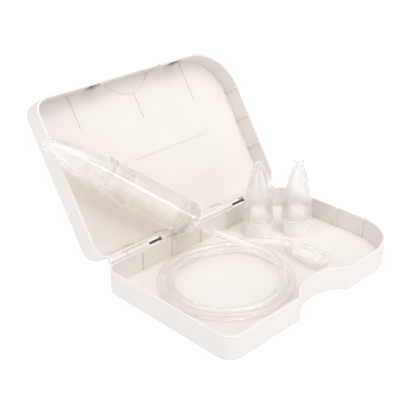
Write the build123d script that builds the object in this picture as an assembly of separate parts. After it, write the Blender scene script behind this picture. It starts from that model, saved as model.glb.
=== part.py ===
"""Nasal aspirator kit: suction aspirator, air tube, mouthpiece and spare nozzles in a hinged case.

Frame: origin at the centre of the case's underside, +X along the hinge to the right, +Y to the
hinge at the back, +Z up. The case is open, as it stands in use. Millimetres.
"""
import os
from math import radians, tan

from build123d import *

# --- driving dimensions -------------------------------------------------------------------
# Case
CASE_W = 200.0          # along the hinge
CASE_D = 130.0          # front to back
BASE_H = 20.0
LID_H = 19.0
WALL = 1.8
FLOOR_T = 2.5
CORNER_R = 12.0
BIG_CORNER_R = 40.0     # front right corner
NOTCH_HALF = 28.0       # finger notch in the lower half's front, half of its chord
NOTCH_DEPTH = 12.5
NOTCH_EDGE_R = 4.0      # rounding where the notch meets the front wall
EDGE_R = 1.8            # rounding along the outer edge of the floor and of the lid's panel
RIM_R = 0.5             # rounding along both edges of each rim
RIB_W = 2.0
RIB_DEPTH = 1.2
BACK_RIBS = (-62.5, -32.0, 0.0, 31.5)
SIDE_RIBS = (27.0, 0.5, -26.0)
PANEL_RIB_H = 0.9
CROSS_RIB_H = 0.4
SCOOP = (-23.0, 26.0)   # where the lid's front wall is lower and thinner, over the notch
SCOOP_DROP = 2.0
SCOOP_THIN = 0.7
ARC_RIB_R = 27.9        # arched rib on the panel that meets the notch's wall when closed
ARC_RIB_Y = -79.0

# Hinge
HINGE_GAP = 2.6         # axis behind the back wall
HINGE_R = 2.4
PIN_R = 1.1
BORE_R = 1.25
LID_OPEN = 122.0        # degrees from closed
BASE_KNUCKLES = ((-92.0, -76.3), (-41.0, 39.0), (76.3, 92.0))
LID_KNUCKLES = ((-75.9, -54.0), (54.0, 75.9))
PIN_SPANS = ((-91.0, -38.0), (36.0, 91.0))

# Latch
LATCH_SPANS = ((-46.0, -37.0), (40.5, 50.5))
LATCH_POSTS = (-35.5, 52.0)
LATCH_PLATE_T = 0.5
LATCH_SKIN = 0.8        # wall left in front of each latch pocket
CATCH_H = 1.6
CATCH_REACH = 0.8
POST_W = 1.6            # upright post beside each latch

# Aspirator: its own axis runs from the barrel's tail end towards the nozzle tip
ASP_ORIGIN = (-21.1, 57.0, 33.8)
ASP_AXIS = (-0.6951, 0.4074, 0.5918)
BARREL_L = 76.0
BARREL_R = 14.0
BARREL_WALL = 1.4
SLEEVE_START = 58.0
FLANGE_PLANE = 78.0     # where the nozzle's flange seats
SPIGOT_R = 10.6
NOZZLE_L = 51.0
NOZZLE_FLANGE_R = 14.4
NOZZLE_BASE_R = 13.0
FLANGE_T = 2.4
ORIFICE_R = 1.8
SPOUT_BORE_R = 8.0      # the cup's neck sits in this bore
CUP_R = 9.0
CUP_START = 7.0
TAIL_L = 8.5
PLUG_L = 5.0
PLUG_WALL = 1.6
FILTER_T = 3.0

# Spare nozzles on their pegs
SPARE_L = 51.0
SPARE_FLANGE_R = 12.9
SPARE_BASE_R = 12.2
PEG_R = 11.2
PEG_TOP = 16.8
PEG_PLACES = {"left": (42.0, 39.0), "right": (67.0, 18.5)}

# Tube, its coil and the mouthpiece
TUBE_R = 3.0
COIL_CENTRE = (-32.0, 4.0)
COIL_OUT_R = 53.0
COIL_IN_R = 39.5
COIL_H = 9.0
LEAD_POINTS = ((-6.2, 48.2, 21.1), (5.2, 36.6, 14.0), (11.8, 20.6, 11.2))
END_POINTS = ((-6.0, 46.8, 5.6), (7.5, 40.0, 5.6), (19.5, 33.0, 5.8), (29.0, 24.0, 6.5),
              (33.7, 13.0, 8.4), (35.0, 3.0, 9.6))
MOUTH_L = 38.0
MOUTH_W = 19.0
MOUTH_T = 12.0
MOUTH_AXIS = (0.03, -1.0, -0.015)

FIT = 0.15              # radial clearance of a push fit


# --- helpers ------------------------------------------------------------------------------
def turned(profile):
    """Solid of revolution about Z from a closed outline of (radius, height) points."""
    points = [(r, 0, z) for r, z in profile]
    return revolve(make_face(Polyline(*points, close=True)), Axis.Z)


def block(x0, x1, y0, y1, z0, z1):
    """Box between two corners."""
    box = Box(x1 - x0, y1 - y0, z1 - z0)
    return Pos((x0 + x1) / 2, (y0 + y1) / 2, (z0 + z1) / 2) * box


def rod_x(radius, x0, x1, y, z):
    """Round bar along X."""
    return Pos((x0 + x1) / 2, y, z) * Rot(0, 90, 0) * Cylinder(radius, x1 - x0)


def save(name, shape):
    """Write one named piece."""
    solids = shape.solids()
    piece = solids[0] if len(solids) == 1 else Compound(solids)
    piece.label = name
    export_step(piece, f"parts/{name}.step")


# --- case ---------------------------------------------------------------------------------
FRONT = -CASE_D / 2
NOTCH_R = (NOTCH_HALF ** 2 + NOTCH_DEPTH ** 2) / (2 * NOTCH_DEPTH)
NOTCH_Y = FRONT + NOTCH_DEPTH - NOTCH_R
HINGE_Y = CASE_D / 2 + HINGE_GAP
HINGE_Z = BASE_H
HINGE_AXIS = Axis((0, HINGE_Y, HINGE_Z), (1, 0, 0))
INNER_BACK = CASE_D / 2 - WALL
INNER_SIDE = CASE_W / 2 - WALL
CLOSED_TOP = BASE_H + LID_H


def case_outline(inset):
    """Plan of the case moved in by `inset`: a rectangle with one big rounded corner."""
    face = Rectangle(CASE_W - 2 * inset, CASE_D - 2 * inset)
    corners = face.vertices().sort_by(lambda v: v.X - v.Y)
    plan = fillet([corners[-1]], BIG_CORNER_R - inset)
    sharp = [v for v in plan.vertices() if v.X < 0 or v.Y > CASE_D / 2 - inset - 0.01]
    plan = fillet(sharp, CORNER_R - inset)
    return plan


def notched_outline(inset):
    """The same plan with the finger notch cut from the front."""
    plan = case_outline(inset) - Pos(0, NOTCH_Y) * Circle(NOTCH_R + inset)
    front_line = FRONT + inset + 0.01
    reach = NOTCH_HALF + WALL
    ends = [v for v in plan.vertices() if abs(v.X) < reach and v.Y < front_line]
    return fillet(ends, NOTCH_EDGE_R - inset)


def edges_at(solid, height):
    """Edges that lie flat at one height."""
    return solid.edges().filter_by_position(Axis.Z, height - 0.01, height + 0.01)


def walls(outline, z0, z1, rim):
    """Ring of walls between two heights, with both edges of its rim rounded."""
    ring = extrude(outline(0), z1 - z0) - extrude(outline(WALL), z1 - z0)
    ring = Pos(0, 0, z0) * ring
    return fillet(edges_at(ring, rim), RIM_R)


def plate(outline, z0, outer):
    """Floor or panel with the edge of its outer face, at height `outer`, rounded."""
    slab = Pos(0, 0, z0) * extrude(outline, FLOOR_T)
    return fillet(edges_at(slab, outer), EDGE_R)


def wall_ribs(z0, z1):
    """Upright ribs on the inside of the back, right and left walls."""
    half = RIB_W / 2
    face, root = INNER_BACK - RIB_DEPTH, INNER_BACK + WALL / 2
    ribs = [block(x - half, x + half, face, root, z0, z1) for x in BACK_RIBS]
    face, root = INNER_SIDE - RIB_DEPTH, INNER_SIDE + WALL / 2
    for y in SIDE_RIBS:
        ribs.append(block(face, root, y - half, y + half, z0, z1))
        ribs.append(block(-root, -face, y - half, y + half, z0, z1))
    return ribs


def knuckle(span, web_z0, web_z1):
    """Hinge barrel over a span of X, with the web that joins it to the wall."""
    x0, x1 = span
    barrel = rod_x(HINGE_R, x0, x1, HINGE_Y, HINGE_Z)
    web = block(x0, x1, CASE_D / 2 - WALL / 2, HINGE_Y, web_z0, web_z1)
    return barrel + web


def hinge_bores(spans):
    """Bores that the two hinge pins pass through."""
    return [rod_x(BORE_R, x0 - FIT, x1 + FIT, HINGE_Y, HINGE_Z) for x0, x1 in spans]


def base_tray():
    """Lower half of the case."""
    body = walls(notched_outline, FLOOR_T, BASE_H, BASE_H) + plate(notched_outline(0), 0, 0)
    for rib in wall_ribs(FLOOR_T / 2, BASE_H - 1.0):
        body = body + rib
    for span in BASE_KNUCKLES:
        body = body + knuckle(span, BASE_H - 5.0, BASE_H - 0.8)
    for bore in hinge_bores(PIN_SPANS):
        body = body - bore
    for x0, x1 in LATCH_SPANS:
        body = body - block(x0, x1, FRONT + 1.0, FRONT + WALL + 0.1, 13.5, 17.5)
    return body


def closed_lid():
    """Upper half of the case in its closed place; its front runs straight over the finger notch."""
    panel_z = CLOSED_TOP - FLOOR_T
    body = walls(case_outline, BASE_H, panel_z, BASE_H) + plate(case_outline(0), panel_z, CLOSED_TOP)
    body = body - block(*SCOOP, FRONT - 1.0, FRONT + WALL + 0.1, BASE_H - 1.0, BASE_H + SCOOP_DROP)
    body = body - block(*SCOOP, FRONT + WALL - SCOOP_THIN, FRONT + WALL + 0.1, BASE_H, panel_z)
    for rib in wall_ribs(BASE_H + 1.0, CLOSED_TOP - FLOOR_T / 2):
        body = body + rib
    for rib in panel_ribs():
        body = body + rib
    for x in LATCH_POSTS:
        y = FRONT + WALL / 2
        body = body + block(x - POST_W / 2, x + POST_W / 2, y, y + 2.0, BASE_H + 1.0, CLOSED_TOP - 1.0)
    for span in LATCH_SPANS:
        body = body - latch_pocket(span, FRONT + WALL + 0.1)
    for span in LID_KNUCKLES:
        body = body + knuckle(span, BASE_H + 0.8, BASE_H + 5.0)
    for bore in hinge_bores(PIN_SPANS):
        body = body - bore
    return body


def latch_pocket(span, y1):
    """Space of one latch in the closed lid's front wall, from its skin to y1."""
    return block(*span, FRONT + LATCH_SKIN, y1, BASE_H + 2.0, CLOSED_TOP - FLOOR_T - 1.0)


def latch_plate(span):
    """Plate with a catch that lines one latch pocket, in the open lid."""
    face = FRONT + LATCH_SKIN + LATCH_PLATE_T
    x0, x1 = span
    plate_body = latch_pocket((x0 + 0.1, x1 - 0.1), face)
    low = BASE_H + 4.0
    catch = block(x0 + 2.5, x1 - 2.5, face - 0.1, face + CATCH_REACH, low, low + CATCH_H)
    return (plate_body + catch).rotate(HINGE_AXIS, -LID_OPEN)


def panel_ribs():
    """Low stiffening ribs on the inside of the lid's panel."""
    z1 = CLOSED_TOP - FLOOR_T / 2
    z0 = CLOSED_TOP - FLOOR_T - PANEL_RIB_H
    front = FRONT + WALL / 2
    arc_top = ARC_RIB_Y + ARC_RIB_R
    spans = ((-59.5, front, -36.0), (2.0, arc_top - 0.3, -28.0), (60.0, front, -29.0))
    ribs = [block(x - 0.6, x + 0.6, y0, y1, z0, z1) for x, y0, y1 in spans]
    low = CLOSED_TOP - FLOOR_T - CROSS_RIB_H
    ribs.append(block(-25.0, 58.0, 0.9, 2.1, low, z1))
    ribs.append(block(38.0, 53.0, 34.4, 35.6, low, z1))
    arc = Pos(0, ARC_RIB_Y) * (Circle(ARC_RIB_R + 0.5) - Circle(ARC_RIB_R - 0.5))
    ribs.append(Pos(0, 0, z0) * extrude(arc & case_outline(WALL / 2), z1 - z0))
    return ribs


def open_lid():
    """Lid swung open about the hinge axis."""
    return closed_lid().rotate(HINGE_AXIS, -LID_OPEN)


def hinge_pin(span):
    """Steel pin of one hinge."""
    return rod_x(PIN_R, span[0], span[1], HINGE_Y, HINGE_Z)


# --- aspirator, in its own frame with Z along the axis ---------------------------------------
AXIS_DIR = Vector(*ASP_AXIS).normalized()
ASP_PLANE = Plane(origin=ASP_ORIGIN, x_dir=Vector(0, 0, 1).cross(AXIS_DIR).normalized(), z_dir=AXIS_DIR)


def on_axis(shape):
    """Place a piece from the aspirator's own frame in the case's frame."""
    return ASP_PLANE.location * shape


def arc_to(start, middle, end):
    """Arc in the XZ plane through three (radius, height) points."""
    return ThreePointArc(*[(r, 0, z) for r, z in (start, middle, end)])


def nozzle_body(length, flange_r, base_r, bore_r, tip_r):
    """Soft ogive nozzle standing on its flange at z = 0, hollow and open at both ends."""
    wall_mid = 1.7
    mid = (base_r * 0.86, length * 0.52)
    shoulder = (tip_r, length - 1.4)
    outer = arc_to((base_r, FLANGE_T), mid, shoulder)
    cap = arc_to(shoulder, (tip_r - 0.45, length - 0.35), (tip_r - 1.5, length))
    inner_top = (ORIFICE_R, length - 5.0)
    inner_base = (bore_r, 11.0)
    inner = arc_to(inner_top, (mid[0] - wall_mid, mid[1] - 1.0), inner_base)
    rest = Polyline((tip_r - 1.5, 0, length), (ORIFICE_R, 0, length), (inner_top[0], 0, inner_top[1]))
    foot = Polyline((inner_base[0], 0, inner_base[1]), (bore_r, 0, 0), (flange_r, 0, 0),
                    (flange_r, 0, FLANGE_T), (base_r, 0, FLANGE_T))
    face = make_face([outer, cap, rest, inner, foot])
    return revolve(face, Axis.Z)


def nozzle():
    """Nozzle on the aspirator, pushed over the spout's spigot."""
    body = nozzle_body(NOZZLE_L, NOZZLE_FLANGE_R, NOZZLE_BASE_R, SPIGOT_R + FIT, 5.3)
    return on_axis(Pos(0, 0, FLANGE_PLANE) * body)


def barrel():
    """Clear outer barrel, open at both ends, with a slightly waisted sleeve at the front."""
    inner = BARREL_R - BARREL_WALL
    profile = [(inner, 0), (BARREL_R - 0.8, 0), (BARREL_R, 0.8), (BARREL_R, SLEEVE_START),
               (BARREL_R - 0.5, SLEEVE_START + 0.5), (BARREL_R - 0.5, BARREL_L - 0.8),
               (BARREL_R - 1.0, BARREL_L), (inner, BARREL_L)]
    return on_axis(turned(profile))


def spout():
    """Collar in the barrel's mouth with the nozzle's spigot and the inner suction nipple."""
    inner = BARREL_R - BARREL_WALL
    profile = [(SPOUT_BORE_R, SLEEVE_START), (inner, SLEEVE_START), (inner, BARREL_L), (13.4, BARREL_L),
               (13.4, FLANGE_PLANE), (SPIGOT_R, FLANGE_PLANE), (SPIGOT_R, FLANGE_PLANE + 9.0),
               (SPIGOT_R - 0.6, FLANGE_PLANE + 9.6), (6.2, FLANGE_PLANE + 9.6), (5.2, FLANGE_PLANE + 15.0),
               (3.6, FLANGE_PLANE + 16.0), (1.8, FLANGE_PLANE + 16.0), (1.8, FLANGE_PLANE + 6.0),
               (4.2, FLANGE_PLANE + 4.0), (4.2, FLANGE_PLANE - 2.0),
               (SPOUT_BORE_R, FLANGE_PLANE - 4.0)]
    return on_axis(turned(profile))


def spout_valve():
    """Soft one-way disc held in the spout's throat."""
    seat = FLANGE_PLANE - 2.0
    profile = [(0, seat + 0.2), (4.2, seat + 0.2), (4.2, seat + 2.0), (2.4, seat + 2.0), (0, seat + 5.4)]
    return on_axis(turned(profile))


def collector_cup():
    """Inner cup that catches the fluid; its closed end is rounded."""
    low = CUP_START
    top = SLEEVE_START + 8.0
    neck = SPOUT_BORE_R
    profile = [(0, low), (CUP_R - 3.0, low), (CUP_R - 0.8, low + 0.8), (CUP_R, low + 3.0),
               (CUP_R, SLEEVE_START), (neck, SLEEVE_START), (neck, top), (neck - 1.0, top),
               (neck - 1.0, low + 3.0), (5.5, low + 1.2), (0, low + 1.2)]
    return on_axis(turned(profile))


def tail_cap():
    """Cap that plugs the barrel's tail and carries the tube."""
    plug_r = BARREL_R - BARREL_WALL - FIT
    cup_r = plug_r - PLUG_WALL
    profile = [(cup_r, PLUG_WALL), (cup_r, PLUG_L), (plug_r, PLUG_L), (plug_r, 3.9),
               (plug_r - 1.1, 3.9), (plug_r - 1.1, 2.3), (plug_r, 2.3), (plug_r, 0), (BARREL_R, 0),
               (BARREL_R - 0.3, -1.8),
               (11.6, -4.4), (6.6, -6.6), (4.4, -7.4), (4.2, -TAIL_L), (1.5, -TAIL_L), (1.5, 0),
               (4.0, PLUG_WALL)]
    return on_axis(turned(profile))


def tail_seal():
    """Sealing ring in the plug's groove."""
    plug_r = BARREL_R - BARREL_WALL - FIT
    return on_axis(turned([(plug_r - 1.1, 2.3), (plug_r, 2.3), (plug_r, 3.9), (plug_r - 1.1, 3.9)]))


def filter_disc():
    """Foam filter in the cap's cup."""
    radius = BARREL_R - BARREL_WALL - FIT - PLUG_WALL
    return on_axis(Pos(0, 0, PLUG_WALL + FILTER_T / 2) * Cylinder(radius, FILTER_T))


# --- tube and mouthpiece --------------------------------------------------------------------
def tube_along(points):
    """Plain round tube on straight runs joined by tangent arcs."""
    path_points = [Vector(*p) for p in points]
    runs = [b - a for a, b in zip(path_points, path_points[1:])]
    radii = []
    for before, after in zip(runs, runs[1:]):
        turn = radians(before.get_angle(after))
        radii.append(0.45 * min(before.length, after.length) / tan(turn / 2))
    path = FilletPolyline(*path_points, radius=radii)
    section = Plane(origin=path_points[0], z_dir=runs[0]) * Circle(TUBE_R)
    return sweep(section, path=path)


def tail_point(distance):
    """Point on the aspirator's axis behind the barrel's tail end."""
    return tuple(Vector(*ASP_ORIGIN) - AXIS_DIR * distance)


def tube_coil():
    """Outer shape of the coiled tube, a flat ring on the tray's floor."""
    ring = Circle(COIL_OUT_R) - Circle(COIL_IN_R)
    solid = extrude(ring, COIL_H)
    solid = fillet(solid.edges().filter_by(GeomType.CIRCLE), 2.4)
    return Pos(COIL_CENTRE[0], COIL_CENTRE[1], FLOOR_T) * solid


MOUTH_START = Vector(*END_POINTS[-1])
MOUTH_DIR = Vector(*MOUTH_AXIS).normalized()
MOUTH_PLANE = Plane(origin=MOUTH_START, x_dir=Vector(1, 0.03, 0), z_dir=MOUTH_DIR)


def mouthpiece():
    """Flattened mouthpiece with a round neck that takes the tube."""
    neck = Cylinder(4.4, 9.0, align=(Align.CENTER, Align.CENTER, Align.MIN))
    body = loft([Pos(0, 0, 7.0) * Circle(4.4).face(),
                 Pos(0, 0, 17.0) * Ellipse(MOUTH_W / 2 - 1.0, MOUTH_T / 2 - 0.2).face(),
                 Pos(0, 0, MOUTH_L) * Ellipse(MOUTH_W / 2, MOUTH_T / 2).face()])
    bore = Cylinder(1.7, MOUTH_L, align=(Align.CENTER, Align.CENTER, Align.MIN))
    return MOUTH_PLANE.location * (neck + body - bore)


# --- spare nozzles --------------------------------------------------------------------------
def nozzle_peg(place):
    """White peg on the tray's floor with a dome that centres a spare nozzle."""
    dome_r = SPARE_BASE_R - 1.8 - 0.3
    top = PEG_TOP
    profile = [(0, FLOOR_T), (PEG_R, FLOOR_T), (PEG_R, top - 0.8), (PEG_R - 0.8, top), (dome_r, top),
               (dome_r, top + 1.0), (dome_r - 1.6, top + 7.0), (dome_r - 3.4, top + 10.5), (0, top + 11.5)]
    return Pos(place[0], place[1], 0) * turned(profile)


def spare_nozzle(place):
    """Spare nozzle standing on its peg."""
    body = nozzle_body(SPARE_L, SPARE_FLANGE_R, SPARE_BASE_R, SPARE_BASE_R - 1.8, 4.6)
    return Pos(place[0], place[1], PEG_TOP) * body


# --- build ----------------------------------------------------------------------------------
def build_parts():
    """All named pieces of the kit."""
    lead_start = tail_point(TAIL_L)
    parts = {
        "base_tray": base_tray(),
        "lid_shell": open_lid(),
        "latch_plate_left": latch_plate(LATCH_SPANS[0]),
        "latch_plate_right": latch_plate(LATCH_SPANS[1]),
        "hinge_pin_left": hinge_pin(PIN_SPANS[0]),
        "hinge_pin_right": hinge_pin(PIN_SPANS[1]),
        "nozzle": nozzle(),
        "barrel": barrel(),
        "spout": spout(),
        "spout_valve": spout_valve(),
        "collector_cup": collector_cup(),
        "tail_cap": tail_cap(),
        "tail_seal": tail_seal(),
        "filter_disc": filter_disc(),
        "air_tube_lead": tube_along((lead_start,) + LEAD_POINTS),
        "air_tube_end": tube_along(END_POINTS),
        "tube_coil": tube_coil(),
        "mouthpiece": mouthpiece(),
    }
    for side, place in PEG_PLACES.items():
        parts[f"nozzle_peg_{side}"] = nozzle_peg(place)
        parts[f"spare_nozzle_{side}"] = spare_nozzle(place)
    return parts


os.makedirs("parts", exist_ok=True)
for part_name, part_shape in build_parts().items():
    save(part_name, part_shape)
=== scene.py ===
"""Looks of the nasal aspirator kit: camera, light, materials and the detailed pieces round the CAD frame.

Sizes of pieces are in millimetres and are scaled to metres where meshes are made.
"""
from math import cos, pi, radians, sin

import bmesh
import bpy
from mathutils import Matrix, Quaternion, Vector


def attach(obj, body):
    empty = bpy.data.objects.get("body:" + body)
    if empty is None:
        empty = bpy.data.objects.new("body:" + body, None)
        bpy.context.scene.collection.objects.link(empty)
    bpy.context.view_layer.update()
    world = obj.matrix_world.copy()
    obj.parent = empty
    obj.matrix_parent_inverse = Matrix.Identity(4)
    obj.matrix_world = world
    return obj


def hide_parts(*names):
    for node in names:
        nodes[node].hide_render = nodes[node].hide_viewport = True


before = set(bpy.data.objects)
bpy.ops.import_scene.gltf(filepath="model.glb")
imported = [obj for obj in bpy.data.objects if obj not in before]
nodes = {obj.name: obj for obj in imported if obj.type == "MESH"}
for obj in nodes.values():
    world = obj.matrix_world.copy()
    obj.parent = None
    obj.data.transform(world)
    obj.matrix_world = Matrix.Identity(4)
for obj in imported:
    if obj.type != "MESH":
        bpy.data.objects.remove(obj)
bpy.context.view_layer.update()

MM = 0.001
scene = bpy.context.scene

# --- camera ------------------------------------------------------------------------------
CAMERA_PLACE = (-0.4208, -0.3700, 0.3429)
CAMERA_AIM = (0.0817, 0.1343, 0.0)
CAMERA_ROLL = radians(-0.36)
LENS_MM = 75.6
SENSOR_MM = 36.0
SHIFT = (-0.0267, -0.0321)

camera = bpy.data.objects.new("camera", bpy.data.cameras.new("camera"))
scene.collection.objects.link(camera)
camera.data.lens = LENS_MM
camera.data.sensor_width = SENSOR_MM
camera.data.shift_x, camera.data.shift_y = SHIFT
camera.data.clip_start = 0.01
camera.rotation_mode = "QUATERNION"
camera.location = CAMERA_PLACE
aim = Vector(CAMERA_AIM) - Vector(CAMERA_PLACE)
camera.rotation_quaternion = aim.to_track_quat("-Z", "Y") @ Quaternion((0, 0, 1), CAMERA_ROLL)
scene.camera = camera

ASP_ORIGIN = Vector((-21.1, 57.0, 33.8))
ASP_AXIS = Vector((-0.6951, 0.4074, 0.5918)).normalized()
BARREL_L = 76.0
BARREL_R = 14.0
BARREL_WALL = 1.4
BORE_R = BARREL_R - BARREL_WALL
PLUG_R = BORE_R - 0.15
SLEEVE_START = 58.0
FLANGE_PLANE = 78.0
SPIGOT_R = 10.6
NOZZLE_L = 51.0
TAIL_L = 8.5
CUP_R = 9.0
CUP_START = 7.0
CUP_END = 65.9
SPARE_L = 51.0
SPARE_BASE_R = 12.2
PEG_R = 11.2
PEG_TOP = 16.8
PEG_PLACES = {"left": (42.0, 39.0), "right": (67.0, 18.5)}
FLOOR_T = 2.5

TUBE_R = 3.0
COIL_CENTRE = (-32.0, 4.0)
LEAD_POINTS = ((-6.2, 48.2, 21.1), (5.2, 36.6, 14.0), (11.8, 20.6, 11.2))   # the last is the landing
END_POINTS = ((-6.0, 46.8, 5.6), (7.5, 40.0, 5.6), (19.5, 33.0, 5.8), (29.0, 24.0, 6.5),
              (33.7, 13.0, 8.4), (35.0, 3.0, 9.6))
MOUTH_AXIS = Vector((0.03, -1.0, -0.015)).normalized()


def placed(origin, axis, across):
    """Matrix of a local frame with Z along `axis`, X along `across`, its origin in millimetres."""
    x_dir = (across - across.dot(axis) * axis).normalized()
    turn = Matrix((x_dir, axis.cross(x_dir), axis)).transposed().to_4x4()
    return Matrix.Translation(Vector(origin) * MM) @ turn


ASPIRATOR = placed(ASP_ORIGIN, ASP_AXIS, Vector((0, 0, 1)).cross(ASP_AXIS))


# --- materials -----------------------------------------------------------------------------
TINT_SPREAD = (0.3, 0.7)        # noise values where the two tints of a base colour are reached
# painted shade: the openness range over which the painted corner darkening of the base colour fades out
PAINTED_SHADE_SPREAD = (0.20, 0.75)   # openness below which a corner's tint is full, above which it is gone
EDGE_BLEND = 0.35               # how early a clear wall counts as turned edge-on
VIEW_TINT = (1.0, 0.998, 0.996)     # of what is seen straight through a clear wall
LAMP_TINT = (0.925, 0.905, 0.88)    # of light that passes a clear wall on its way to a matt surface


def new_material(name, sockets):
    """Principled material with constant values set on the shader's own sockets."""
    material = bpy.data.materials.new(name)
    material.use_nodes = True
    shader = material.node_tree.nodes["Principled BSDF"]
    for socket, value in sockets.items():
        shader.inputs[socket].default_value = value
    return material


def noise_of(material, scale, detail=3.0):
    """Output of a noise texture in the piece's own coordinates; scale is features per metre."""
    tree = material.node_tree
    coordinates = tree.nodes.new("ShaderNodeTexCoord")
    noise = tree.nodes.new("ShaderNodeTexNoise")
    noise.inputs["Scale"].default_value = scale
    noise.inputs["Detail"].default_value = detail
    tree.links.new(coordinates.outputs["Object"], noise.inputs["Vector"])
    return noise.outputs["Fac"]


def ramp_between(tree, spread, low, high):
    """Colour ramp node between two tints."""
    ramp = tree.nodes.new("ShaderNodeValToRGB")
    for element, position, tint in zip(ramp.color_ramp.elements, spread, (low, high)):
        element.position = position
        element.color = (*tint, 1)
    return ramp


def vary_colour(material, low, high, scale):
    """Base colour drifts softly between two tints."""
    tree = material.node_tree
    ramp = ramp_between(tree, TINT_SPREAD, low, high)
    tree.links.new(noise_of(material, scale), ramp.inputs["Fac"])
    tree.links.new(ramp.outputs["Color"], tree.nodes["Principled BSDF"].inputs["Base Color"])


def vary_roughness(material, low, high, scale):
    """Roughness drifts between two values."""
    tree = material.node_tree
    spread = tree.nodes.new("ShaderNodeMapRange")
    spread.inputs["To Min"].default_value = low
    spread.inputs["To Max"].default_value = high
    tree.links.new(noise_of(material, scale), spread.inputs["Value"])
    tree.links.new(spread.outputs["Result"], tree.nodes["Principled BSDF"].inputs["Roughness"])


def add_grain(material, scale, strength, height_mm):
    """Fine moulded grain as bump."""
    tree = material.node_tree
    bump = tree.nodes.new("ShaderNodeBump")
    bump.inputs["Strength"].default_value = strength
    bump.inputs["Distance"].default_value = height_mm * MM
    tree.links.new(noise_of(material, scale, 2.0), bump.inputs["Height"])
    tree.links.new(bump.outputs["Normal"], tree.nodes["Principled BSDF"].inputs["Normal"])


def paint_corner_shade(material, reach_mm, tint):
    """Painted shade: base colour darkens to a warm tint in corners and under edges, where shade falls."""
    tree = material.node_tree
    base = tree.nodes["Principled BSDF"].inputs["Base Color"]
    colour = base.links[0].from_socket
    openness = tree.nodes.new("ShaderNodeAmbientOcclusion")
    openness.samples = 8
    openness.only_local = True
    openness.inputs["Distance"].default_value = reach_mm * MM
    ramp = ramp_between(tree, PAINTED_SHADE_SPREAD, tint, (1, 1, 1))
    product = tree.nodes.new("ShaderNodeMix")
    product.data_type = "RGBA"
    product.blend_type = "MULTIPLY"
    product.inputs["Factor"].default_value = 1.0
    tree.links.new(openness.outputs["AO"], ramp.inputs["Fac"])
    tree.links.new(colour, product.inputs["A"])
    tree.links.new(ramp.outputs["Color"], product.inputs["B"])
    tree.links.new(product.outputs["Result"], base)


def see_through(material, clearness):
    """Light passes straight through a thin clear wall, less so where the wall turns edge-on.

    `clearness` is the share that passes, face-on and edge-on. Light on its way to a matt surface
    always passes, with a tint, so the clear pieces cast soft shadows.
    """
    tree = material.node_tree
    facing = tree.nodes.new("ShaderNodeLayerWeight")
    facing.inputs["Blend"].default_value = EDGE_BLEND
    wall = tree.nodes.new("ShaderNodeMapRange")
    wall.inputs["To Min"].default_value, wall.inputs["To Max"].default_value = clearness
    path = tree.nodes.new("ShaderNodeLightPath")
    passing = tree.nodes.new("ShaderNodeMath")
    passing.operation = "MAXIMUM"
    tint = tree.nodes.new("ShaderNodeMix")
    tint.data_type = "RGBA"
    tint.inputs["A"].default_value = (*VIEW_TINT, 1)
    tint.inputs["B"].default_value = (*LAMP_TINT, 1)
    clear = tree.nodes.new("ShaderNodeBsdfTransparent")
    mix = tree.nodes.new("ShaderNodeMixShader")
    lighting = tree.nodes.new("ShaderNodeMath")
    lighting.operation = "MAXIMUM"
    tree.links.new(path.outputs["Is Shadow Ray"], lighting.inputs[0])
    tree.links.new(path.outputs["Is Diffuse Ray"], lighting.inputs[1])
    tree.links.new(lighting.outputs["Value"], tint.inputs["Factor"])
    tree.links.new(tint.outputs["Result"], clear.inputs["Color"])
    tree.links.new(facing.outputs["Facing"], wall.inputs["Value"])
    tree.links.new(wall.outputs["Result"], passing.inputs[0])
    tree.links.new(lighting.outputs["Value"], passing.inputs[1])
    tree.links.new(passing.outputs["Value"], mix.inputs["Fac"])
    tree.links.new(tree.nodes["Principled BSDF"].outputs["BSDF"], mix.inputs[1])
    tree.links.new(clear.outputs["BSDF"], mix.inputs[2])
    tree.links.new(mix.outputs["Shader"], tree.nodes["Material Output"].inputs["Surface"])


def case_plastic():
    """Warm off-white satin polypropylene with a fine moulded grain and painted shade in its corners."""
    material = new_material("case_plastic", {"IOR": 1.49, "Specular IOR Level": 0.35})
    vary_colour(material, (0.815, 0.778, 0.750), (0.835, 0.800, 0.775), 22.0)
    # painted shade: corners, creases and the feet of walls darkened towards a warm tint
    paint_corner_shade(material, 8.0, (0.90, 0.88, 0.82))
    vary_roughness(material, 0.42, 0.55, 60.0)
    add_grain(material, 2600.0, 0.25, 0.05)
    return material


def white_plastic():
    """Glossy white plastic of the pegs."""
    material = new_material("white_plastic", {"IOR": 1.5, "Coat Weight": 0.15})
    vary_colour(material, (0.90, 0.89, 0.87), (0.93, 0.925, 0.91), 90.0)
    vary_roughness(material, 0.22, 0.34, 120.0)
    add_grain(material, 1500.0, 0.10, 0.03)
    return material


def clear_material(name, ior, transmission, low, high, rough, clearness):
    """Clear or milky plastic with a glossy skin."""
    material = new_material(name, {"IOR": ior, "Transmission Weight": transmission,
                                   "Specular IOR Level": 1.0, "Coat Weight": 1.0, "Coat Roughness": 0.03})
    vary_colour(material, low, high, 70.0)
    vary_roughness(material, *rough, 160.0)
    add_grain(material, 420.0, 0.04, 0.04)
    see_through(material, clearness)
    return material


def painted_latch_shade():
    """Dark taupe colour of the latch plates: painted shade, dark sheets set in the latch recesses where
    there is only shadow.
    """
    material = new_material("latch_plate", {"IOR": 1.5, "Specular IOR Level": 0.3})
    vary_colour(material, (0.27, 0.215, 0.17), (0.36, 0.295, 0.24), 160.0)
    vary_roughness(material, 0.45, 0.65, 200.0)
    add_grain(material, 900.0, 0.3, 0.05)
    return material


def steel():
    """Dark dull steel of the hinge pins."""
    material = new_material("steel_pin", {"Metallic": 1.0})
    vary_colour(material, (0.07, 0.058, 0.045), (0.20, 0.17, 0.14), 300.0)
    vary_roughness(material, 0.45, 0.65, 400.0)
    return material


def foam():
    """Open white foam of the filter."""
    material = new_material("foam", {"Subsurface Weight": 0.1})
    vary_colour(material, (0.80, 0.79, 0.77), (0.92, 0.91, 0.89), 900.0)
    vary_roughness(material, 0.85, 1.0, 500.0)
    add_grain(material, 1200.0, 0.8, 0.4)
    return material


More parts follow.
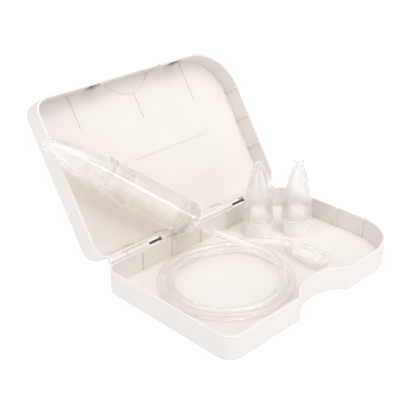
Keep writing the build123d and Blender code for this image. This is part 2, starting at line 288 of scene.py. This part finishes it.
def seal_rubber():
    """Pale grey rubber of the sealing ring."""
    material = new_material("seal_rubber", {"IOR": 1.5})
    vary_colour(material, (0.55, 0.55, 0.57), (0.62, 0.62, 0.64), 200.0)
    vary_roughness(material, 0.45, 0.6, 300.0)
    return material


MATERIALS = {
    "case_plastic": case_plastic(),
    "white_plastic": white_plastic(),
    "clear_plastic": clear_material(
        "clear_plastic", 1.36, 0.86, low=(0.985, 0.98, 0.975), high=(0.995, 0.99, 0.985),
        rough=(0.04, 0.08), clearness=(0.55, 0.20)),
    "clear_silicone": clear_material(
        "clear_silicone", 1.38, 0.78, low=(0.955, 0.955, 0.97), high=(0.975, 0.975, 0.985),
        rough=(0.06, 0.12), clearness=(0.55, 0.15)),
    "milky_silicone": clear_material(
        "milky_silicone", 1.28, 0.60, low=(0.955, 0.95, 0.95), high=(0.975, 0.97, 0.97),
        rough=(0.14, 0.22), clearness=(0.55, 0.30)),
    "steel_pin": steel(),
    "foam": foam(),
    "latch_plate": painted_latch_shade(),
    "seal_rubber": seal_rubber(),
}


def dress(piece, slot_name):
    """One material slot with the named finish."""
    piece.data.materials.clear()
    piece.data.materials.append(MATERIALS[slot_name])


CAD_FINISH = {
    "base_tray": "case_plastic", "lid_shell": "case_plastic", "hinge_pin_left": "steel_pin",
    "hinge_pin_right": "steel_pin", "spout_valve": "milky_silicone", "tail_seal": "seal_rubber",
    # the latch plates carry painted shade: dark sheets put in the lid's latch recesses in place of their
    # shadow
    "filter_disc": "foam", "latch_plate_left": "latch_plate", "latch_plate_right": "latch_plate",
}
for node_name, finish in CAD_FINISH.items():
    dress(nodes[node_name], finish)


# --- mesh helpers ----------------------------------------------------------------------------
TURN_STEPS = 96
SHARP = radians(38)


def rounded(points, steps=5):
    """Closed outline with each corner (radius, height, rounding) eased by a short curve."""
    outline = []
    for before, (r, z, ease), after in zip(points[-1:] + points[:-1], points, points[1:] + points[:1]):
        here = Vector((r, z))
        to_before, to_after = Vector(before[:2]) - here, Vector(after[:2]) - here
        reach = min(ease, 0.45 * to_before.length, 0.45 * to_after.length)
        if reach <= 0:
            outline.append((r, z))
            continue
        start, end = here + to_before.normalized() * reach, here + to_after.normalized() * reach
        for i in range(steps + 1):
            s = i / steps
            outline.append(tuple(start * (1 - s) ** 2 + here * 2 * s * (1 - s) + end * s ** 2))
    return outline


def swell(start, control, end, steps=16):
    """Smooth curve between two (radius, height) points, drawn towards a third."""
    a, b, c = Vector(start), Vector(control), Vector(end)
    points = []
    for i in range(steps + 1):
        s = i / steps
        p = a * (1 - s) ** 2 + b * 2 * s * (1 - s) + c * s ** 2
        points.append((p.x, p.y, 0.0))
    return points


def finish_mesh(name, bm, matrix, body, slot_name, replaced):
    """Turns a bmesh in metres into a piece that rides on a body and stands for CAD nodes."""
    bmesh.ops.remove_doubles(bm, verts=bm.verts, dist=1e-7)
    bmesh.ops.recalc_face_normals(bm, faces=bm.faces)
    bm.transform(matrix)
    for face in bm.faces:
        face.smooth = True
    mesh = bpy.data.meshes.new(name)
    bm.to_mesh(mesh)
    bm.free()
    mesh.set_sharp_from_angle(angle=SHARP)
    piece = bpy.data.objects.new(name, mesh)
    scene.collection.objects.link(piece)
    dress(piece, slot_name)
    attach(piece, body)
    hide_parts(*replaced)
    return piece


def turned(outline, steps=TURN_STEPS):
    """Closed bmesh turned about Z from a closed outline of (radius, height) or (x, y, height) rings."""
    bm = bmesh.new()
    rings = []
    for point in outline:
        rx, ry, z = (point[0], point[0], point[1]) if len(point) == 2 else point
        if rx < 1e-6:
            rings.append([bm.verts.new((0, 0, z * MM))])
            continue
        angles = [2 * pi * i / steps for i in range(steps)]
        rings.append([bm.verts.new((rx * cos(a) * MM, ry * sin(a) * MM, z * MM)) for a in angles])
    for ring, after in zip(rings, rings[1:] + rings[:1]):
        for i in range(steps):
            j = (i + 1) % steps
            corners = (ring[i % len(ring)], ring[j % len(ring)],
                       after[j % len(after)], after[i % len(after)])
            unique = list(dict.fromkeys(corners))
            if len(unique) > 2:
                bm.faces.new(unique)
    return bm


# --- tube ----------------------------------------------------------------------------------
# (degrees travelled clockwise from where the lead lands, radius, height): the tube lands on top,
# sinks inside the outer turn, then crosses outwards behind the landing and makes the outer turn.
COIL_KEYS = ((0, 46.8, 11.3), (40, 45.0, 10.6), (80, 43.4, 8.8), (125, 42.8, 6.4), (165, 42.9, 5.6),
             (250, 42.2, 5.6), (318, 43.4, 5.6), (339, 46.4, 5.6), (362, 49.0, 5.6), (440, 49.6, 5.6),
             (530, 48.8, 5.6), (610, 49.7, 5.6), (682, 50.1, 5.6))
COIL_START = 20.8       # degrees, direction of the landing from the coil's centre
COIL_STEP = 14.0        # degrees between control points


def coil_at(travel):
    """Point of the coil after so many degrees of travel."""
    for (t0, r0, z0), (t1, r1, z1) in zip(COIL_KEYS, COIL_KEYS[1:]):
        if travel <= t1:
            s = (travel - t0) / (t1 - t0)
            s = s * s * (3 - 2 * s)
            break
    radius, height = r0 + (r1 - r0) * s, z0 + (z1 - z0) * s
    angle = radians(COIL_START - travel)
    return (COIL_CENTRE[0] + radius * cos(angle), COIL_CENTRE[1] + radius * sin(angle), height)


def tube_route():
    """Control points of the whole tube, from inside the cap's boss to inside the mouthpiece's neck.

    The coil starts at the lead's landing, so that point comes from the coil.
    """
    route = [tuple(ASP_ORIGIN - ASP_AXIS * (TAIL_L - 3.0)), tuple(ASP_ORIGIN - ASP_AXIS * TAIL_L)]
    route += LEAD_POINTS[:-1]
    last = COIL_KEYS[-1][0]
    turns = int(last / COIL_STEP)
    route += [coil_at(last * i / turns) for i in range(turns)]
    route += END_POINTS
    route.append(tuple(Vector(END_POINTS[-1]) + MOUTH_AXIS * 5.0))
    return route


def air_tube():
    """The clear tube as one cord."""
    curve = bpy.data.curves.new("air_tube", "CURVE")
    curve.dimensions = "3D"
    curve.bevel_depth = TUBE_R * MM
    curve.bevel_resolution = 6
    curve.use_fill_caps = True
    curve.resolution_u = 6
    route = tube_route()
    spline = curve.splines.new("NURBS")
    spline.points.add(len(route) - 1)
    for point, place in zip(spline.points, route):
        point.co = (*(Vector(place) * MM), 1)
    spline.order_u = 3
    spline.use_endpoint_u = True
    spline.use_smooth = True
    piece = bpy.data.objects.new("air_tube", curve)
    scene.collection.objects.link(piece)
    dress(piece, "clear_silicone")
    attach(piece, "case")
    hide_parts("air_tube_lead", "tube_coil", "air_tube_end")
    return piece


# --- aspirator -------------------------------------------------------------------------------
def nozzle_outline(length, flange_r, base_r, bore_r, tip_r):
    """Ogive nozzle standing on its flange at height 0, hollow, open at both ends."""
    outer = [(base_r + 0.1, 3.0, 0.6)]
    outer += swell((base_r, 4.2), (base_r + 0.1, 0.43 * length), (tip_r + 0.2, length - 5.2))
    tip = [(tip_r, length - 4.4, 0.8), (tip_r, length - 1.0, 0.9), (tip_r - 0.6, length, 0.7),
           (2.9, length, 0.6), (2.2, length - 1.2, 0.6)]
    inner = [(1.8, length - 6.0, 0.6)]
    inner += swell((2.6, length - 8.5), (bore_r - 0.2, 0.42 * length), (bore_r - 0.1, 12.5))
    foot = [(bore_r, 11.0, 0.8), (bore_r, 0.0, 0.3), (flange_r, 0.0, 0.5), (flange_r, 2.4, 0.9),
            (base_r + 0.7, 2.5, 0.3)]
    return rounded(outer + tip + inner + foot)


def fitted_nozzle():
    """Nozzle pushed over the spout's spigot, with its flange against the collar."""
    nozzle = nozzle_outline(NOZZLE_L, flange_r=14.4, base_r=13.0, bore_r=SPIGOT_R + 0.15, tip_r=5.3)
    at_flange = ASPIRATOR @ Matrix.Translation((0, 0, FLANGE_PLANE * MM))
    finish_mesh("nozzle_body", turned(nozzle), at_flange, "nozzle", "clear_silicone", ["nozzle"])


def barrel():
    """Tube with a bead and a groove at the tail, and a step where the spout's sleeve starts."""
    step_r = BARREL_R - 0.5
    groove_r = BARREL_R - 0.25
    outline = rounded([
        (BORE_R, 0, 0.3), (BARREL_R - 0.3, 0, 0.4), (BARREL_R, 0.9, 0.5), (BARREL_R, 2.0, 0.2),
        (groove_r, 2.4, 0.1), (groove_r, 3.0, 0.1), (BARREL_R, 3.4, 0.2),
        (BARREL_R, SLEEVE_START - 0.4, 0.3), (step_r, SLEEVE_START + 0.4, 0.3),
        (step_r, BARREL_L - 2.6, 0.3), (BARREL_R, BARREL_L - 2.0, 0.3),
        (BARREL_R, BARREL_L - 0.6, 0.5), (BARREL_R - 0.7, BARREL_L, 0.4), (BORE_R, BARREL_L, 0.3)])
    finish_mesh("barrel_tube", turned(outline), ASPIRATOR, "barrel", "clear_plastic", ["barrel"])


def spout():
    """Sleeve in the barrel's mouth, collar, ribbed spigot and suction nipple."""
    sleeve_r = BORE_R - 0.05
    relief_r = BORE_R - 0.6
    root_r = SPIGOT_R - 0.35
    seat = FLANGE_PLANE
    ribs = []
    for i in range(3):
        z = seat + 2.2 + 2.4 * i
        ribs += [(root_r, z, 0.1), (SPIGOT_R, z + 0.5, 0.15), (SPIGOT_R, z + 1.1, 0.15),
                 (root_r, z + 1.6, 0.1)]
    sleeve = [(8.0, SLEEVE_START, 0.3), (sleeve_r, SLEEVE_START, 0.4), (sleeve_r, 62.0, 0.2),
              (relief_r, 62.5, 0.2), (relief_r, 66.5, 0.2), (sleeve_r, 67.0, 0.2),
              (sleeve_r, BARREL_L + 0.1, 0.0)]
    collar = [(13.4, BARREL_L + 0.1, 0.3), (13.4, seat - 0.1, 0.3), (SPIGOT_R, seat - 0.1, 0.0)]
    nipple = [(SPIGOT_R - 0.6, seat + 9.6, 0.4), (6.4, seat + 9.6, 0.6), (5.2, seat + 14.6, 1.0),
              (3.6, seat + 16.0, 0.6), (1.9, seat + 16.0, 0.4)]
    throat = [(1.8, seat + 6.0, 0.4), (4.2, seat + 4.0, 0.3), (4.2, seat - 2.0, 0.0),
              (8.0, seat - 4.0, 0.4)]
    outline = rounded(sleeve + collar + ribs + nipple + throat)
    finish_mesh("spout_body", turned(outline), ASPIRATOR, "barrel", "clear_plastic", ["spout"])


def collector_cup():
    """Round-bottomed cup whose rim sits in the spout's sleeve."""
    outline = rounded([
        (0, CUP_START, 0), (CUP_R - 4.0, CUP_START, 2.0), (CUP_R - 0.6, CUP_START + 1.0, 2.0),
        (CUP_R, CUP_START + 4.0, 1.5), (CUP_R, SLEEVE_START - 1.5, 0.2),
        (CUP_R - 0.9, SLEEVE_START - 0.1, 0.2), (7.9, CUP_END, 0.4), (6.9, CUP_END, 0.4),
        (7.4, CUP_START + 4.5, 2.0), (5.6, CUP_START + 2.2, 1.6), (0, CUP_START + 1.6, 0)])
    finish_mesh("collector_cup_body", turned(outline), ASPIRATOR, "barrel", "clear_plastic",
                ["collector_cup"])


def tail_cap():
    """Domed cap with a grooved plug and a boss that holds the tube."""
    groove_r = PLUG_R - 1.15
    plug = [(PLUG_R - 1.6, 1.6, 0.2), (PLUG_R - 1.6, 5.0, 0.3), (PLUG_R, 5.0, 0.4), (PLUG_R, 3.95, 0.1),
            (groove_r, 3.95, 0.0), (groove_r, 2.25, 0.0), (PLUG_R, 2.25, 0.1), (PLUG_R, -0.05, 0.0)]
    dome = [(BARREL_R, -0.05, 0.3), (BARREL_R - 0.2, -1.9, 1.0), (11.7, -4.4, 2.4), (6.8, -6.4, 1.2)]
    boss = [(4.5, -7.2, 0.6), (4.3, -TAIL_L, 0.5), (3.1, -TAIL_L, 0.2), (3.1, -5.4, 0.1)]
    airway = [(1.5, -5.4, 0.2), (1.5, 0.2, 0.3), (4.0, 1.6, 0.4)]
    outline = rounded(plug + dome + boss + airway)
    finish_mesh("tail_cap_body", turned(outline), ASPIRATOR, "case", "clear_plastic", ["tail_cap"])


# --- mouthpiece ---------------------------------------------------------------------------------
# (half width, half thickness, distance from the neck's end)
MOUTH_OUTSIDE = (
    (3.15, 3.15, 0.0), (4.1, 4.1, 0.0), (4.4, 4.4, 0.5), (4.4, 4.4, 2.6), (4.1, 4.1, 3.2),
    (4.1, 4.1, 4.2), (4.4, 4.4, 4.8), (4.4, 4.4, 7.2), (5.0, 4.6, 9.0), (6.9, 5.2, 12.5),
    (8.3, 5.7, 16.0), (9.0, 5.9, 20.0), (8.9, 5.7, 25.0), (8.7, 5.5, 30.0), (8.8, 5.5, 32.5),
    (9.4, 5.9, 34.4), (9.45, 5.95, 36.2), (8.9, 5.5, 37.6), (8.2, 4.8, 38.0))
MOUTH_INSIDE = (
    (7.3, 4.0, 37.8), (6.9, 3.6, 36.6), (6.9, 3.6, 30.0), (6.9, 3.7, 22.0), (5.8, 3.4, 16.0),
    (3.2, 2.4, 11.0), (1.8, 1.8, 8.0), (1.7, 1.7, 5.6), (3.1, 3.1, 5.3))
MOUTH_STEPS = 64


def mouthpiece():
    """Flattened mouthpiece with a bead round its lip and a neck that holds the tube."""
    place = placed(END_POINTS[-1], MOUTH_AXIS, Vector((1, 0.03, 0)))
    sections = MOUTH_OUTSIDE + MOUTH_INSIDE
    return finish_mesh("mouthpiece_body", turned(sections, MOUTH_STEPS), place, "case",
                       "milky_silicone", ["mouthpiece"])


# --- spare nozzles and pegs ----------------------------------------------------------------------
def spares():
    """Two white pegs with their spare nozzles."""
    dome_r = SPARE_BASE_R - 2.1
    seat = PEG_TOP - 0.05
    peg = rounded([
        (0, FLOOR_T, 0), (PEG_R, FLOOR_T, 0.1), (PEG_R, seat, 0.7), (dome_r, seat, 0.2),
        (dome_r, PEG_TOP + 1.2, 0.4), (dome_r - 1.4, PEG_TOP + 6.6, 2.5),
        (dome_r - 4.2, PEG_TOP + 10.6, 3.0), (0, PEG_TOP + 11.4, 0)])
    nozzle = nozzle_outline(SPARE_L, flange_r=12.9, base_r=SPARE_BASE_R, bore_r=SPARE_BASE_R - 1.8,
                            tip_r=4.6)
    for side, (x, y) in PEG_PLACES.items():
        stand = Matrix.Translation((x * MM, y * MM, 0))
        top = Matrix.Translation((x * MM, y * MM, PEG_TOP * MM))
        finish_mesh(f"peg_{side}", turned(peg), stand, "case", "white_plastic", [f"nozzle_peg_{side}"])
        finish_mesh(f"spare_{side}", turned(nozzle), top, f"spare_{side}", "clear_silicone",
                    [f"spare_nozzle_{side}"])


# --- studio ------------------------------------------------------------------------------------
MIDDLE = Vector((-0.05, 0.07, 0.06))    # the point that the soft boxes face


def area_light(name, place, size, power, colour=(1, 1, 1), along=None, target=MIDDLE):
    """Soft box aimed at a point; its long side is level, or lies along a direction."""
    data = bpy.data.lights.new(name, "AREA")
    data.shape = "RECTANGLE"
    data.size, data.size_y = size
    data.energy = power
    data.color = colour
    light = bpy.data.objects.new(name, data)
    scene.collection.objects.link(light)
    back = (place - target).normalized()
    side = along if along else Vector((0, 0, 1)).cross(back)
    side = (side - side.dot(back) * back).normalized()
    turn = Matrix((side, back.cross(side), back)).transposed().to_4x4()
    light.matrix_world = Matrix.Translation(place) @ turn


CLEAR_WALLS = 28        # clear surfaces that light can pass in a row
AMBIENT = 0.35          # strength of the sky on matt surfaces
FLOOR_HALF = 6.0        # metres
FLOOR_DROP = 0.0004     # metres, keeps the paper clear of the case's underside


def sky():
    """Pale sky on matt surfaces, white wherever it is seen, mirrored or seen through a clear piece."""
    world = bpy.data.worlds.new("studio")
    world.use_nodes = True
    scene.world = world
    tree = world.node_tree
    ambient = tree.nodes["Background"]
    ambient.inputs["Color"].default_value = (0.97, 0.98, 1.0, 1)
    ambient.inputs["Strength"].default_value = AMBIENT
    seen = tree.nodes.new("ShaderNodeBackground")
    seen.inputs["Color"].default_value = (1, 1, 1, 1)
    path = tree.nodes.new("ShaderNodeLightPath")
    mix = tree.nodes.new("ShaderNodeMixShader")
    tree.links.new(path.outputs["Is Diffuse Ray"], mix.inputs["Fac"])
    tree.links.new(seen.outputs["Background"], mix.inputs[1])
    tree.links.new(ambient.outputs["Background"], mix.inputs[2])
    tree.links.new(mix.outputs["Shader"], tree.nodes["World Output"].inputs["Surface"])


def white_floor():
    mesh = bpy.data.meshes.new("floor")
    corners = [(x * FLOOR_HALF, y * FLOOR_HALF, 0) for x, y in ((-1, -1), (1, -1), (1, 1), (-1, 1))]
    mesh.from_pydata(corners, [], [(0, 1, 2, 3)])
    floor = bpy.data.objects.new("floor", mesh)
    scene.collection.objects.link(floor)
    floor.location.z = -FLOOR_DROP
    mesh.materials.append(new_material("floor_paper", {
        "Base Color": (0.25, 0.25, 0.25, 1), "Roughness": 0.9, "Specular IOR Level": 0.1,
        "Emission Color": (1, 1, 1, 1), "Emission Strength": 0.85}))


def studio():
    """White floor, pale sky and soft boxes; the key lies along the barrel, to draw its highlights."""
    sky()
    white_floor()
    area_light("key", MIDDLE + Vector((0.16, -0.86, 0.48)), size=(0.9, 0.10), power=2.7,
               colour=(1, 0.98, 0.955), along=ASP_AXIS)
    area_light("high", MIDDLE + Vector((-0.05, -0.50, 1.0)), size=(0.7, 0.5), power=3.2,
               colour=(1, 0.985, 0.965))
    area_light("top", Vector((0.1, 0.0, 1.3)), size=(1.2, 1.2), power=6.0, target=Vector((0, 0, 0)))
    area_light("fill", Vector((-0.9, 0.1, 0.50)), size=(1.0, 1.0), power=3.4)
    scene.view_settings.view_transform = "Standard"
    scene.cycles.transparent_max_bounces = CLEAR_WALLS


# --- build ---------------------------------------------------------------------------------------
tube = air_tube()
mouth = mouthpiece()
fitted_nozzle()
barrel()
spout()
collector_cup()
tail_cap()
spares()
studio()
